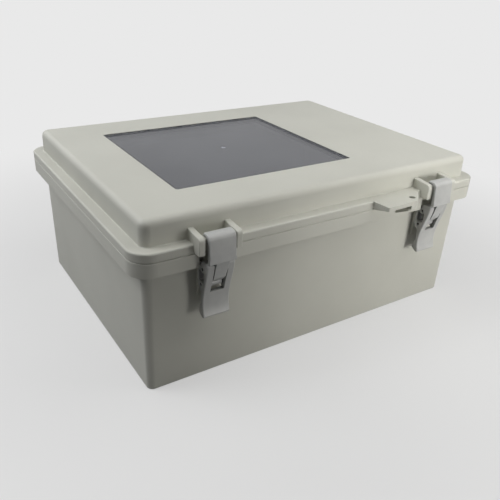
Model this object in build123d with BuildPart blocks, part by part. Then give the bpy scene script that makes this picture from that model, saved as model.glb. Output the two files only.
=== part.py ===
from build123d import *
import os

os.makedirs("parts", exist_ok=True)

# Hinged, latched wall box with a tinted window in its lid. Millimetres.
# X runs along the front to the right, -Y is the latch side, +Z is up.
# The origin is the centre of the base's underside.

# Outline of the closed box from above.
flange_length = 400.0
flange_depth = 300.0
flange_corner_radius = 19.0

# Base tray.
base_height = 135.0
base_flange_height = 13.5
base_wall_inset = 11.5
base_wall = 3.0
base_floor = 3.5
base_draft = 0.6
base_foot_radius = 1.5
flange_skirt = 3.0
flange_plate = 3.0
flange_edge_radius = 1.1
flange_rib = 2.0
flange_rib_pitch = 52.0
flange_rib_relief = 1.5
flange_rib_end = 40.0

# Lid.
seal_gap = 0.3
lid_flange_height = 8.0
lid_flange_plate = 2.4
lid_skirt = 3.0
lid_raise = 22.5
lid_raise_inset = 11.0
lid_wall = 3.0
lid_roof = 3.0
lid_draft = 0.8
lid_edge_radius = 6.2
lid_flange_radius = 1.6
lid_lower_edge_radius = 0.4
lid_cove_radius = 1.0
lid_inner_radius = 3.0

# Lid gasket and the rim on the base that presses into it.
gasket_width = 5.0
gasket_height = 3.2
rim_width = 2.4

# Window in the lid: opening, seal, tinted panel and the frame screwed in below.
window_margin_left = 65.6
window_margin_right = 134.4
window_margin_front = 60.8
window_margin_back = 59.2
window_corner_radius = 2.5
window_edge_radius = 0.5
window_seal_margin = 4.0
window_seal_width = 4.0
window_seal_thickness = 1.0
panel_margin = 10.0
panel_thickness = 3.0
panel_corner_radius = 4.0
gate_mark_radius = 3.2
gate_mark_depth = 0.3
frame_lip = 5.0
frame_thickness = 3.0
frame_corner_radius = 6.0
frame_boss_radius = 4.0
frame_boss_gap = 1.5
frame_edge_margin = 1.5
frame_screw_radius = 1.5
frame_screw_head_radius = 3.0
frame_screw_head = 2.2
frame_screw_clearance = 0.2
frame_screw_bite = 5.0
frame_screw_recess = 1.0
frame_screw_crown = 1.0
frame_screw_thread = 0.05
frame_screw_tip = 0.6
frame_screw_cross = 3.2
frame_screw_slot = 0.8
frame_chamfer = 1.0

# Latches. The lever turns on a lug of the base, the hook turns on the lever.
latch_inset = 70.5
lever_pivot_out = 1.5
lever_pivot_drop = 1.7
hook_pivot_in = 2.7
hook_pivot_drop = 15.6
pin_radius = 1.5
pin_recess = 1.5
running_clearance = 0.06
lug_width = 12.0
lug_radius = 4.2
lug_root = 12.0
lug_pad_width = 22.0
lug_pad_height = 34.0
lug_pad = 2.5
lug_pad_radius = 1.5
pocket_clearance = 1.8
pocket_cheek = 2.5

lever_width = 26.0
lever_slot = 13.2
lever_slot_depth = 22.2
lever_length = 47.4
lever_top = 7.5
lever_top_out = 9.5
lever_shoulder_out = 6.2
lever_shoulder_drop = 8.3
lever_waist_out = 1.2
lever_waist_drop = 30.0
lever_tip_out = 3.8
lever_plate = 3.2
lever_cheek = 3.4
lever_wing = 4.5
lever_wing_rise = 3.8
lever_wing_height = 7.0
lever_wing_top = 14.0
lever_spine = 1.9
lever_bridge = 2.4
lever_tip_lip = 1.5
lever_top_radius = 2.5
lever_tip_radius = 1.8
lever_edge_radius = 1.2
lever_boss_radius = 4.2
lever_back = 8.4
lever_back_drop = 2.0
lever_back_radius = 3.0
lever_ring_radius = 3.2
lever_window_front = 2.6
lever_window_back = 5.2
lever_window_top = 1.5
lever_window_foot = 12.8
lever_window_radius = 1.5

hook_width = 25.0
hook_out = 13.5
hook_plate = 3.5
hook_rise = 9.7
hook_lip = 2.7
hook_lip_end = 2.0
hook_shoulder = 1.2
hook_bend_radius = 4.5
hook_lean = 2.0
hook_edge_radius = 0.8
tongue_top_width = 12.6
tongue_foot_width = 10.4
tongue_plate = 3.0
tongue_knee_out = 4.9
tongue_knee_drop = 7.4
hook_barrel_radius = 3.7

# Ears of the lid at both sides of each hook, and the bar that the hook pulls on.
ear_gap = 29.0
ear_thickness = 5.6
ear_reach = 9.5
ear_rise = 9.9
ear_drop = 1.8
ear_foot = 1.2
ear_corner_radius = 3.5
ear_edge_radius = 1.0
ear_rim_radius = 0.8
bar_reach = 7.0
bar_foot = 4.0
bar_thickness = 4.5
bar_back = 1.0
bar_clearance = 0.6

# Padlock tab of the lid and the lug of the base under it.
tab_inset = 96.5
tab_width = 58.5
tab_front_left_inset = 2.0
tab_front_right_inset = 16.5
tab_reach = 18.8
tab_reach_right = 17.2
tab_root = 2.5
tab_edge = 4.0
tab_notch = 1.5
tab_hole_inset = 15.8
tab_hole_reach = 9.0
tab_hole_radius = 3.25
tab_corner_radius = 2.0
keeper_width = 26.0
keeper_set_back = 0.3
keeper_height = 10.0
keeper_edge = 1.2
keeper_slant = 2.0

# Hinges on the back.
hinge_inset = 70.0
hinge_pin_out = 6.5
hinge_pin_radius = 2.0
hinge_barrel_radius = 5.5
hinge_knuckle = 24.0
hinge_leaf = 12.0
hinge_side_gap = 0.4
hinge_pin_end = 0.6
hinge_web = 8.0

# Bosses in the tray for equipment, and the bosses in the floor for wall brackets.
boss_inset_x = 32.0
boss_inset_y = 32.0
boss_radius = 6.5
boss_height = 16.0
insert_radius = 3.0
insert_bore = 2.1
insert_length = 9.0
wall_hole_inset_x = 50.0
wall_hole_inset_y = 60.0
wall_boss_radius = 7.0
wall_boss_height = 11.0
wall_insert_radius = 3.5
wall_insert_bore = 2.5
wall_insert_recess = 0.3
pin_chamfer = 0.4

# Heights and positions that follow from the sizes above.
base_flange_z = base_height - base_flange_height
flange_plate_z = base_height - flange_plate
lid_z = base_height + seal_gap
lid_flange_top = lid_z + lid_flange_height
lid_top = lid_flange_top + lid_raise
roof_z = lid_top - lid_roof
gasket_top = lid_flange_top - lid_flange_plate
gasket_z = gasket_top - gasket_height
rim_top = gasket_z - seal_gap
rim_inset = lid_skirt + (gasket_width - rim_width) / 2
lid_wall_inset = lid_raise_inset + lid_wall
base_inner_inset = base_wall_inset + base_wall
channel = base_wall_inset - flange_skirt
rib_inset = flange_skirt + base_wall_inset
front = -flange_depth / 2
back = flange_depth / 2
left = -flange_length / 2
right = flange_length / 2
ribs_along_x = int((flange_length - 2 * flange_rib_end) / flange_rib_pitch) + 1
ribs_along_y = int((flange_depth - 2 * flange_rib_end) / flange_rib_pitch) + 1

window_length = flange_length - window_margin_left - window_margin_right
window_depth = flange_depth - window_margin_front - window_margin_back
window_x = (window_margin_left - window_margin_right) / 2
window_y = (window_margin_front - window_margin_back) / 2
seal_z = roof_z - window_seal_thickness
panel_z = seal_z - panel_thickness
frame_z = panel_z - frame_thickness
boss_offset = panel_margin + frame_boss_gap + frame_boss_radius
frame_margin = boss_offset + frame_boss_radius + frame_edge_margin

pivot_y = front - lever_pivot_out
pivot_z = base_flange_z - lever_pivot_drop
hook_y = pivot_y + hook_pivot_in
hook_z = pivot_z - hook_pivot_drop
latch_spacing = flange_length - 2 * latch_inset
latch_sides = {"left": -latch_spacing / 2, "right": latch_spacing / 2}
wall_y = front + base_wall_inset
root_y = wall_y + base_wall / 2
dome_root_y = front + lid_raise_inset + lid_wall / 2
flange_root = lid_flange_radius + 0.4
pocket_width = lever_width + 2 * pocket_clearance
pin_length = lever_width - 2 * pin_recess

hook_front = front - hook_out
hook_shoulder_z = pivot_z + lever_top + hook_shoulder
hook_top = lid_flange_top + hook_rise
hook_lip_z = hook_top - hook_lip
bar_top = hook_lip_z - bar_clearance
ear_top = lid_flange_top + ear_rise

tab_right = right - tab_inset
tab_left = tab_right - tab_width
tab_front_left = tab_left + tab_front_left_inset
tab_front_right = tab_right - tab_front_right_inset
tab_hole_x = tab_right - tab_hole_inset
tab_hole_y = front - tab_hole_reach
keeper_left = tab_right - keeper_width
keeper_front = front - tab_reach_right + keeper_set_back

hinge_y = back + hinge_pin_out
hinge_tangent = hinge_barrel_radius * 0.7
hinge_z = base_height
hinge_spacing = flange_length - 2 * hinge_inset
hinge_sides = {"left": -hinge_spacing / 2, "right": hinge_spacing / 2}
leaf_offset = hinge_knuckle / 2 + hinge_side_gap + hinge_leaf / 2
hinge_pin_length = 2 * (leaf_offset + hinge_leaf / 2 + hinge_pin_end)

boss_grid_x = flange_length - 2 * boss_inset_x
boss_grid_y = flange_depth - 2 * boss_inset_y
boss_top = base_floor + boss_height
wall_hole_spacing_x = flange_length - 2 * wall_hole_inset_x
wall_hole_spacing_y = flange_depth - 2 * wall_hole_inset_y


def outline(inset, mode=Mode.ADD):
    """Rounded rectangle that keeps the same distance from the flange's edge."""
    RectangleRounded(
        flange_length - 2 * inset,
        flange_depth - 2 * inset,
        flange_corner_radius - inset,
        mode=mode,
    )


def window_outline(margin, radius, mode=Mode.ADD):
    """Rounded rectangle round the window opening at a given margin."""
    with Locations((window_x, window_y)):
        RectangleRounded(
            window_length + 2 * margin,
            window_depth + 2 * margin,
            radius,
            mode=mode,
        )


def frame_screw_places():
    """Two screws at each side of the window frame."""
    half_x = window_length / 2 + boss_offset
    half_y = window_depth / 2 + boss_offset
    quarter_x = window_length / 4
    quarter_y = window_depth / 4
    places = [(sx * half_x, sy * quarter_y) for sx in (-1, 1) for sy in (-1, 1)]
    places += [(sx * quarter_x, sy * half_y) for sx in (-1, 1) for sy in (-1, 1)]
    return [(window_x + x, window_y + y) for x, y in places]


# The base: drafted tray, hollow flange with ribs below, sealing rim on top,
# lugs for the latches, keeper for the padlock and outer leaves of the hinges.
with BuildPart() as base:
    with BuildSketch(Plane.XY.offset(base_flange_z)):
        outline(base_wall_inset)
    extrude(amount=-base_flange_z, taper=base_draft)
    fillet(base.faces().sort_by(Axis.Z)[0].edges(), base_foot_radius)

    with BuildSketch(Plane.XY.offset(base_flange_z)):
        outline(0)
    extrude(amount=base_flange_height)
    fillet(base.faces().sort_by(Axis.Z)[-1].edges(), flange_edge_radius)

    with BuildSketch(Plane.XY.offset(base_flange_z)):
        outline(flange_skirt)
        outline(base_wall_inset, mode=Mode.SUBTRACT)
    extrude(amount=base_flange_height - flange_plate, mode=Mode.SUBTRACT)

    # Ribs across the hollow flange.
    rib_height = base_flange_height - flange_plate - flange_rib_relief
    rib_z = base_flange_z + flange_rib_relief
    with Locations((0, 0, rib_z)):
        with GridLocations(flange_rib_pitch, flange_depth - rib_inset, ribs_along_x, 2):
            Box(flange_rib, channel, rib_height, align=(Align.CENTER, Align.CENTER, Align.MIN))
        with GridLocations(flange_length - rib_inset, flange_rib_pitch, 2, ribs_along_y):
            Box(channel, flange_rib, rib_height, align=(Align.CENTER, Align.CENTER, Align.MIN))

    # Solid flange behind the latches, the padlock keeper and the hinges.
    with BuildSketch(Plane.XY.offset(base_flange_z)):
        with Locations((0, front + base_wall_inset / 2 + flange_skirt / 2)):
            with GridLocations(latch_spacing, 0, 2, 1):
                Rectangle(pocket_width + 2 * pocket_cheek, channel)
            with Locations(((keeper_left + tab_right) / 2, 0)):
                Rectangle(tab_right - keeper_left, channel)
        with Locations((0, back - base_wall_inset / 2 - flange_skirt / 2)):
            with GridLocations(hinge_spacing, 0, 2, 1):
                Rectangle(2 * leaf_offset + hinge_leaf, channel)
    extrude(amount=base_flange_height - flange_plate)

    # Pockets for the upper ends of the latch levers.
    with BuildSketch(Plane.XY.offset(base_flange_z)):
        with Locations((0, front + base_wall_inset / 2)):
            with GridLocations(latch_spacing, 0, 2, 1):
                Rectangle(pocket_width, base_wall_inset)
    extrude(amount=base_flange_height - flange_plate, mode=Mode.SUBTRACT)

    # Inside of the tray.
    with BuildSketch(Plane.XY.offset(base_flange_z)):
        outline(base_inner_inset)
    extrude(amount=base_flange_height, mode=Mode.SUBTRACT)
    with BuildSketch(Plane.XY.offset(base_flange_z)):
        outline(base_inner_inset)
    extrude(amount=base_floor - base_flange_z, taper=base_draft, mode=Mode.SUBTRACT)

    # Sealing rim.
    with BuildSketch(Plane.XY.offset(base_height)):
        outline(rim_inset)
        outline(rim_inset + rim_width, mode=Mode.SUBTRACT)
    extrude(amount=rim_top - base_height)

    # Bosses for equipment and for wall brackets, with seats for their inserts.
    with BuildSketch(Plane.XY.offset(base_floor)):
        with GridLocations(boss_grid_x, boss_grid_y, 2, 2):
            Circle(boss_radius)
    extrude(amount=boss_height)
    with BuildSketch(Plane.XY.offset(boss_top)):
        with GridLocations(boss_grid_x, boss_grid_y, 2, 2):
            Circle(insert_radius)
    extrude(amount=-insert_length, mode=Mode.SUBTRACT)
    with BuildSketch(Plane.XY.offset(base_floor)):
        with GridLocations(wall_hole_spacing_x, wall_hole_spacing_y, 2, 2):
            Circle(wall_boss_radius)
    extrude(amount=wall_boss_height)
    with BuildSketch(Plane.XY):
        with GridLocations(wall_hole_spacing_x, wall_hole_spacing_y, 2, 2):
            Circle(wall_insert_radius)
    extrude(amount=insert_length, mode=Mode.SUBTRACT)

    # Latch lugs on pads of the front wall.
    for x in latch_sides.values():
        with BuildSketch(Plane.XZ.offset(-root_y)):
            with Locations((x, base_flange_z - lug_pad_height / 2)):
                RectangleRounded(lug_pad_width, lug_pad_height, lug_pad_radius)
        extrude(amount=root_y - wall_y + lug_pad)
        with BuildSketch(Plane.YZ.offset(x - lug_width / 2)):
            with BuildLine():
                Polyline(
                    (root_y, flange_plate_z),
                    (front + flange_edge_radius, flange_plate_z),
                    (pivot_y - lug_radius * 0.9, pivot_z + lug_radius * 0.44),
                    (pivot_y, pivot_z - lug_radius),
                    (root_y, pivot_z - lug_root),
                    close=True,
                )
            make_face()
            with Locations((pivot_y, pivot_z)):
                Circle(lug_radius)
        extrude(amount=lug_width)
    with BuildSketch(Plane.YZ):
        with Locations((pivot_y, pivot_z)):
            Circle(pin_radius + running_clearance)
    extrude(amount=(latch_spacing + pocket_width) / 2, both=True, mode=Mode.SUBTRACT)

    # Keeper under the padlock tab, flush with its front, with a sloping underside.
    with BuildSketch(Plane.XY.offset(base_height)) as keeper:
        with BuildLine():
            Polyline(
                (keeper_left, front + flange_edge_radius),
                (keeper_left, keeper_front + keeper_slant),
                (keeper_left + keeper_slant, keeper_front),
                (tab_front_right, keeper_front),
                (tab_right, front - tab_root),
                (tab_right, front + flange_edge_radius),
                close=True,
            )
        make_face()
        corner = keeper.vertices().sort_by_distance((tab_front_right, keeper_front))[0]
        fillet(corner, tab_corner_radius)
    extrude(amount=-keeper_height)
    with BuildSketch(Plane.YZ.offset(keeper_left)):
        with BuildLine():
            Polyline(
                (front, base_height - keeper_height),
                (keeper_front, base_height - keeper_height),
                (keeper_front, base_height - keeper_edge),
                close=True,
            )
        make_face()
    extrude(amount=tab_right - keeper_left, mode=Mode.SUBTRACT)
    with BuildSketch(Plane.XY.offset(base_height)):
        with Locations((tab_hole_x, tab_hole_y)):
            Circle(tab_hole_radius)
    extrude(amount=-keeper_height, mode=Mode.SUBTRACT)

    # Outer leaves of the two hinges.
    for x in hinge_sides.values():
        for side in (-1, 1):
            with BuildSketch(Plane.YZ.offset(x + side * leaf_offset - hinge_leaf / 2)):
                with BuildLine():
                    Polyline(
                        (back - flange_edge_radius, base_height),
                        (hinge_y, base_height),
                        (hinge_y + hinge_tangent, hinge_z - hinge_tangent),
                        (back - flange_edge_radius, base_height - hinge_web),
                        close=True,
                    )
                make_face()
                with Locations((hinge_y, hinge_z)):
                    Circle(hinge_barrel_radius)
                    Circle(hinge_pin_radius, mode=Mode.SUBTRACT)
            extrude(amount=hinge_leaf)

base.part.label = "base_shell"
export_step(base.part, "parts/base_shell.step")


# The lid: hollow flange, raised drafted dome, window opening with screw bosses
# inside, ears and pull bars for the hooks, padlock tab and middle hinge leaves.
with BuildPart() as lid:
    with BuildSketch(Plane.XY.offset(lid_z)):
        outline(0)
    extrude(amount=lid_flange_height)
    fillet(lid.faces().sort_by(Axis.Z)[-1].edges(), lid_flange_radius)
    fillet(lid.faces().sort_by(Axis.Z)[0].edges(), lid_lower_edge_radius)

    with BuildSketch(Plane.XY.offset(lid_flange_top)):
        outline(lid_raise_inset)
    extrude(amount=lid_raise, taper=lid_draft)
    fillet(lid.faces().sort_by(Axis.Z)[-1].edges(), lid_edge_radius)
    ledge = lid.faces().filter_by_position(Axis.Z, lid_flange_top - 0.01, lid_flange_top + 0.01)[0]
    fillet(ledge.inner_wires()[0].edges(), lid_cove_radius)

    with BuildSketch(Plane.XY.offset(lid_z)):
        outline(lid_wall_inset)
    extrude(amount=lid_flange_height, mode=Mode.SUBTRACT)
    with BuildSketch(Plane.XY.offset(lid_flange_top)):
        outline(lid_wall_inset)
    extrude(amount=roof_z - lid_flange_top, taper=lid_draft, mode=Mode.SUBTRACT)
    ceiling = lid.faces().filter_by_position(Axis.Z, roof_z - 0.01, roof_z + 0.01)
    fillet(ceiling.edges(), lid_inner_radius)

    with BuildSketch(Plane.XY.offset(lid_z)):
        outline(lid_skirt)
        outline(lid_skirt + gasket_width, mode=Mode.SUBTRACT)
    extrude(amount=gasket_top - lid_z, mode=Mode.SUBTRACT)

    # Window opening and the bosses round it.
    with BuildSketch(Plane.XY.offset(roof_z)):
        window_outline(0, window_corner_radius)
    extrude(amount=lid_roof, mode=Mode.SUBTRACT)
    rim = lid.faces().sort_by(Axis.Z)[-1].inner_wires()[0]
    fillet(rim.edges(), window_edge_radius)
    with BuildSketch(Plane.XY.offset(roof_z)):
        with Locations(*frame_screw_places()):
            Circle(frame_boss_radius)
    extrude(amount=panel_z - roof_z)
    with BuildSketch(Plane.XY.offset(panel_z)):
        with Locations(*frame_screw_places()):
            Circle(frame_screw_radius + frame_screw_thread)
    extrude(amount=frame_screw_bite, mode=Mode.SUBTRACT)

    # Ears and pull bars.
    for x in latch_sides.values():
        for side in (-1, 1):
            ear_x = x + side * (ear_gap + ear_thickness) / 2
            with BuildPart(mode=Mode.PRIVATE) as ear:
                with BuildSketch(Plane.YZ.offset(ear_x - ear_thickness / 2)) as profile:
                    with BuildLine():
                        Polyline(
                            (dome_root_y, lid_flange_top - flange_root),
                            (front + flange_root, lid_flange_top - flange_root),
                            (front + flange_root, lid_z + ear_foot),
                            (front - ear_reach, lid_z + ear_foot),
                            (front - ear_reach, ear_top - ear_drop),
                            (dome_root_y, ear_top),
                            close=True,
                        )
                    make_face()
                    nose = profile.vertices().sort_by(Axis.X)[:2].sort_by(Axis.Y)
                    fillet(nose[1], ear_corner_radius)
                    fillet(nose[0], ear_edge_radius)
                extrude(amount=ear_thickness)
                rims = [face.edges().sort_by(Axis.Y)[0] for face in ear.faces().filter_by(Axis.X)]
                fillet(rims, ear_rim_radius)
            add(ear.part)
        with BuildSketch(Plane.YZ.offset(x - ear_gap / 2)):
            with BuildLine():
                Polyline(
                    (front + flange_root, lid_z + bar_foot),
                    (front - bar_reach, lid_z + bar_foot),
                    (front - bar_reach, bar_top),
                    (front - bar_reach + bar_thickness, bar_top),
                    (front - bar_back, lid_flange_top),
                    (front + flange_root, lid_flange_top),
                    close=True,
                )
            make_face()
        extrude(amount=ear_gap)

    # Padlock tab.
    with BuildSketch(Plane.XY.offset(lid_z)) as tab:
        with BuildLine():
            Polyline(
                (tab_left, front + flange_root),
                (tab_left, front),
                (tab_front_left, front - tab_reach),
                (tab_front_right, front - tab_reach_right),
                (tab_right, front - tab_root),
                (tab_right, front + flange_root),
                close=True,
            )
        make_face()
        fillet(tab.vertices().sort_by(Axis.Y)[:2], tab_corner_radius)
        with Locations((tab_hole_x, tab_hole_y)):
            Circle(tab_hole_radius, mode=Mode.SUBTRACT)
    extrude(amount=lid_flange_height)
    with BuildSketch(Plane.YZ.offset(tab_left)):
        with BuildLine():
            Polyline(
                (front, lid_z),
                (front - tab_reach, lid_z),
                (front - tab_reach, lid_flange_top - tab_edge),
                close=True,
            )
        make_face()
    extrude(amount=keeper_left + tab_notch - tab_left, mode=Mode.SUBTRACT)

    # Middle leaves of the two hinges.
    for x in hinge_sides.values():
        with BuildSketch(Plane.YZ.offset(x - hinge_knuckle / 2)):
            with BuildLine():
                Polyline(
                    (back - flange_root, lid_z),
                    (hinge_y, lid_z),
                    (hinge_y + hinge_tangent, hinge_z + hinge_tangent),
                    (back - flange_root, lid_z + hinge_web),
                    close=True,
                )
            make_face()
            with Locations((hinge_y, hinge_z)):
                Circle(hinge_barrel_radius)
                Circle(hinge_pin_radius + running_clearance, mode=Mode.SUBTRACT)
        extrude(amount=hinge_knuckle)

lid.part.label = "lid_shell"
export_step(lid.part, "parts/lid_shell.step")


# Soft cord gasket in the channel of the lid.
with BuildPart() as lid_gasket:
    with BuildSketch(Plane.XY.offset(gasket_z)):
        outline(lid_skirt)
        outline(lid_skirt + gasket_width, mode=Mode.SUBTRACT)
    extrude(amount=gasket_height)

lid_gasket.part.label = "lid_gasket"
export_step(lid_gasket.part, "parts/lid_gasket.step")


# Window: seal, tinted panel with its gate mark, and the frame below.
with BuildPart() as window_gasket:
    with BuildSketch(Plane.XY.offset(seal_z)):
        window_outline(window_seal_margin + window_seal_width, panel_corner_radius)
        window_outline(window_seal_margin, window_corner_radius, mode=Mode.SUBTRACT)
    extrude(amount=window_seal_thickness)

window_gasket.part.label = "window_gasket"
export_step(window_gasket.part, "parts/window_gasket.step")

with BuildPart() as window_panel:
    with BuildSketch(Plane.XY.offset(panel_z)):
        window_outline(panel_margin, panel_corner_radius)
    extrude(amount=panel_thickness)
    with BuildSketch(Plane.XY.offset(seal_z)):
        with Locations((window_x, window_y)):
            Circle(gate_mark_radius)
    extrude(amount=-gate_mark_depth, mode=Mode.SUBTRACT)

window_panel.part.label = "window_panel"
export_step(window_panel.part, "parts/window_panel.step")

with BuildPart() as window_frame:
    with BuildSketch(Plane.XY.offset(frame_z)):
        window_outline(frame_margin, frame_corner_radius)
        window_outline(-frame_lip, window_corner_radius, mode=Mode.SUBTRACT)
        with Locations(*frame_screw_places()):
            Circle(frame_screw_radius + frame_screw_clearance, mode=Mode.SUBTRACT)
    extrude(amount=frame_thickness)
    underside = window_frame.faces().sort_by(Axis.Z)[0]
    chamfer(underside.outer_wire().edges(), frame_chamfer)

window_frame.part.label = "window_frame"
export_step(window_frame.part, "parts/window_frame.step")

with BuildPart() as frame_screws:
    with BuildSketch(Plane.XY.offset(frame_z)):
        with Locations(*frame_screw_places()):
            Circle(frame_screw_head_radius)
    extrude(amount=-frame_screw_head)
    crowns = frame_screws.edges().group_by(Axis.Z)[0]
    chamfer(crowns, frame_screw_crown)
    with BuildSketch(Plane.XY.offset(frame_z)):
        with Locations(*frame_screw_places()):
            Circle(frame_screw_radius)
    extrude(amount=frame_thickness + frame_screw_bite - frame_screw_tip)
    with BuildSketch(Plane.XY.offset(frame_z - frame_screw_head)):
        with Locations(*frame_screw_places()):
            Rectangle(frame_screw_cross, frame_screw_slot)
            Rectangle(frame_screw_slot, frame_screw_cross)
    extrude(amount=frame_screw_recess, mode=Mode.SUBTRACT)

frame_screws.part.label = "window_frame_screws"
export_step(frame_screws.part, "parts/window_frame_screws.step")


# Threaded inserts in the tray's bosses and in its floor.
with BuildPart() as boss_inserts:
    with BuildSketch(Plane.XY.offset(boss_top)):
        with GridLocations(boss_grid_x, boss_grid_y, 2, 2):
            Circle(insert_radius)
            Circle(insert_bore, mode=Mode.SUBTRACT)
    extrude(amount=-insert_length)

boss_inserts.part.label = "boss_inserts"
export_step(boss_inserts.part, "parts/boss_inserts.step")

with BuildPart() as wall_inserts:
    with BuildSketch(Plane.XY.offset(wall_insert_recess)):
        with GridLocations(wall_hole_spacing_x, wall_hole_spacing_y, 2, 2):
            Circle(wall_insert_radius)
            Circle(wall_insert_bore, mode=Mode.SUBTRACT)
    extrude(amount=insert_length - wall_insert_recess)

wall_inserts.part.label = "wall_mount_inserts"
export_step(wall_inserts.part, "parts/wall_mount_inserts.step")


# Hinge pins.
for side, x in hinge_sides.items():
    with BuildPart() as hinge_pin:
        with BuildSketch(Plane.YZ.offset(x - hinge_pin_length / 2)):
            with Locations((hinge_y, hinge_z)):
                Circle(hinge_pin_radius)
        extrude(amount=hinge_pin_length)
        ends = hinge_pin.faces().filter_by(Axis.X)
        chamfer(ends.edges(), pin_chamfer)
    hinge_pin.part.label = "hinge_pin_" + side
    export_step(hinge_pin.part, "parts/hinge_pin_" + side + ".step")


def from_pivot(y, z):
    """Point of a latch profile, given from the axis of the lever's pivot."""
    return (pivot_y + y, pivot_z + z)


# Both latches are alike: a forked lever with a hollow handle, a hook that the
# lever carries, and the two pins.
for side, x in latch_sides.items():
    with BuildPart() as lever:
        with BuildSketch(Plane.YZ.offset(x - lever_width / 2)) as cheek:
            with BuildLine():
                Spline(
                    from_pivot(-lever_top_out, lever_top),
                    from_pivot(-lever_shoulder_out, -lever_shoulder_drop),
                    from_pivot(-lever_waist_out, -lever_waist_drop),
                    from_pivot(-lever_tip_out, -lever_length),
                )
                Polyline(
                    from_pivot(-lever_tip_out, -lever_length),
                    from_pivot(lever_plate - lever_tip_out, -lever_length),
                    from_pivot(lever_wing, lever_wing_rise - lever_length),
                    from_pivot(lever_wing, lever_wing_rise + lever_wing_height - lever_length),
                    from_pivot(lever_spine, lever_wing_top - lever_length),
                    from_pivot(lever_spine, -lever_slot_depth),
                    from_pivot(lever_back, -hook_pivot_drop),
                    from_pivot(lever_back, -lever_back_drop),
                    from_pivot(lever_boss_radius, lever_boss_radius),
                    from_pivot(0, lever_top),
                    from_pivot(-lever_top_out, lever_top),
                )
            make_face()
            for corner, radius in (
                (from_pivot(-lever_top_out, lever_top), lever_top_radius),
                (from_pivot(-lever_tip_out, -lever_length), lever_tip_radius),
                (from_pivot(lever_back, -hook_pivot_drop), lever_back_radius),
            ):
                fillet(cheek.vertices().sort_by_distance(corner)[0], radius)
            window_middle = from_pivot(
                (lever_window_back - lever_window_front) / 2,
                -(lever_window_top + lever_window_foot) / 2,
            )
            with Locations(window_middle):
                RectangleRounded(
                    lever_window_front + lever_window_back,
                    lever_window_foot - lever_window_top,
                    lever_window_radius,
                    mode=Mode.SUBTRACT,
                )
            with Locations((pivot_y, pivot_z), (hook_y, hook_z)):
                Circle(lever_ring_radius)
                Circle(pin_radius, mode=Mode.SUBTRACT)
        extrude(amount=lever_width)
        waist = from_pivot(-lever_waist_out, -lever_waist_drop)
        sides = (x - lever_width / 2, x + lever_width / 2)
        rims = [lever.edges().sort_by_distance((face_x, *waist))[0] for face_x in sides]
        fillet(rims, lever_edge_radius)

        # Slot between the two cheeks.
        with BuildSketch(Plane.XZ.offset(-pivot_y)):
            with Locations((x, pivot_z - lever_slot_depth)):
                Rectangle(lever_slot, lever_slot_depth * 2, align=(Align.CENTER, Align.MIN))
        extrude(amount=lever_slot_depth, both=True, mode=Mode.SUBTRACT)

        # Hollow back of the handle.
        hollow_width = lever_width - 2 * lever_cheek
        with BuildSketch(Plane.YZ.offset(x - hollow_width / 2)):
            with BuildLine():
                Spline(
                    from_pivot(lever_plate - lever_top_out, lever_top),
                    from_pivot(lever_plate - lever_shoulder_out, -lever_shoulder_drop),
                    from_pivot(lever_plate - lever_waist_out, -lever_waist_drop),
                    from_pivot(lever_plate - lever_tip_out, -lever_length),
                )
                Polyline(
                    from_pivot(lever_plate - lever_tip_out, -lever_length),
                    from_pivot(lever_width, -lever_length),
                    from_pivot(lever_width, lever_top),
                    from_pivot(lever_plate - lever_top_out, lever_top),
                )
            make_face()
            with Locations(from_pivot(0, -lever_slot_depth - lever_bridge)):
                Rectangle(
                    4 * lever_width,
                    lever_length - lever_slot_depth - lever_bridge - lever_tip_lip,
                    align=(Align.CENTER, Align.MAX),
                    mode=Mode.INTERSECT,
                )
        extrude(amount=hollow_width, mode=Mode.SUBTRACT)
    lever.part.label = "latch_lever_" + side
    export_step(lever.part, "parts/latch_lever_" + side + ".step")

    with BuildPart() as hook:
        with BuildSketch(Plane.YZ.offset(x - hook_width / 2)) as strap:
            with BuildLine():
                Polyline(
                    (hook_front, hook_shoulder_z),
                    (hook_front + hook_lean, hook_top),
                    (front - hook_lip_end, hook_top),
                    (front - hook_lip_end, hook_lip_z),
                    (hook_front + hook_lean + hook_plate, hook_lip_z),
                    (hook_front + hook_plate, hook_shoulder_z),
                    close=True,
                )
            make_face()
            corners = strap.vertices()
            fillet(corners.sort_by_distance((hook_front + hook_lean, hook_top))[0], hook_bend_radius)
            with BuildLine():
                Polyline(
                    (hook_front + hook_plate / 2, hook_shoulder_z + hook_plate),
                    (hook_front + hook_plate / 2, hook_shoulder_z),
                    from_pivot(-tongue_knee_out, -tongue_knee_drop),
                    (hook_y, hook_z),
                )
            trace(line_width=tongue_plate)
            with Locations((hook_y, hook_z)):
                Circle(hook_barrel_radius)
                Circle(pin_radius + running_clearance, mode=Mode.SUBTRACT)
        extrude(amount=hook_width)
        with BuildSketch(Plane.XZ.offset(-hook_y)):
            with BuildLine():
                foot_z = hook_z - hook_barrel_radius
                Polyline(
                    (x - hook_width / 2, hook_top),
                    (x - hook_width / 2, hook_shoulder_z),
                    (x - tongue_top_width / 2, hook_shoulder_z),
                    (x - tongue_foot_width / 2, foot_z),
                    (x + tongue_foot_width / 2, foot_z),
                    (x + tongue_top_width / 2, hook_shoulder_z),
                    (x + hook_width / 2, hook_shoulder_z),
                    (x + hook_width / 2, hook_top),
                    close=True,
                )
            make_face()
        extrude(amount=hook_out + hook_width, both=True, mode=Mode.INTERSECT)
        plate = (hook_front + hook_lean / 2, (hook_shoulder_z + hook_top) / 2)
        sides = (x - hook_width / 2, x + hook_width / 2)
        rims = [hook.edges().sort_by_distance((face_x, *plate))[0] for face_x in sides]
        fillet(rims, hook_edge_radius)
    hook.part.label = "latch_hook_" + side
    export_step(hook.part, "parts/latch_hook_" + side + ".step")

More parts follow.
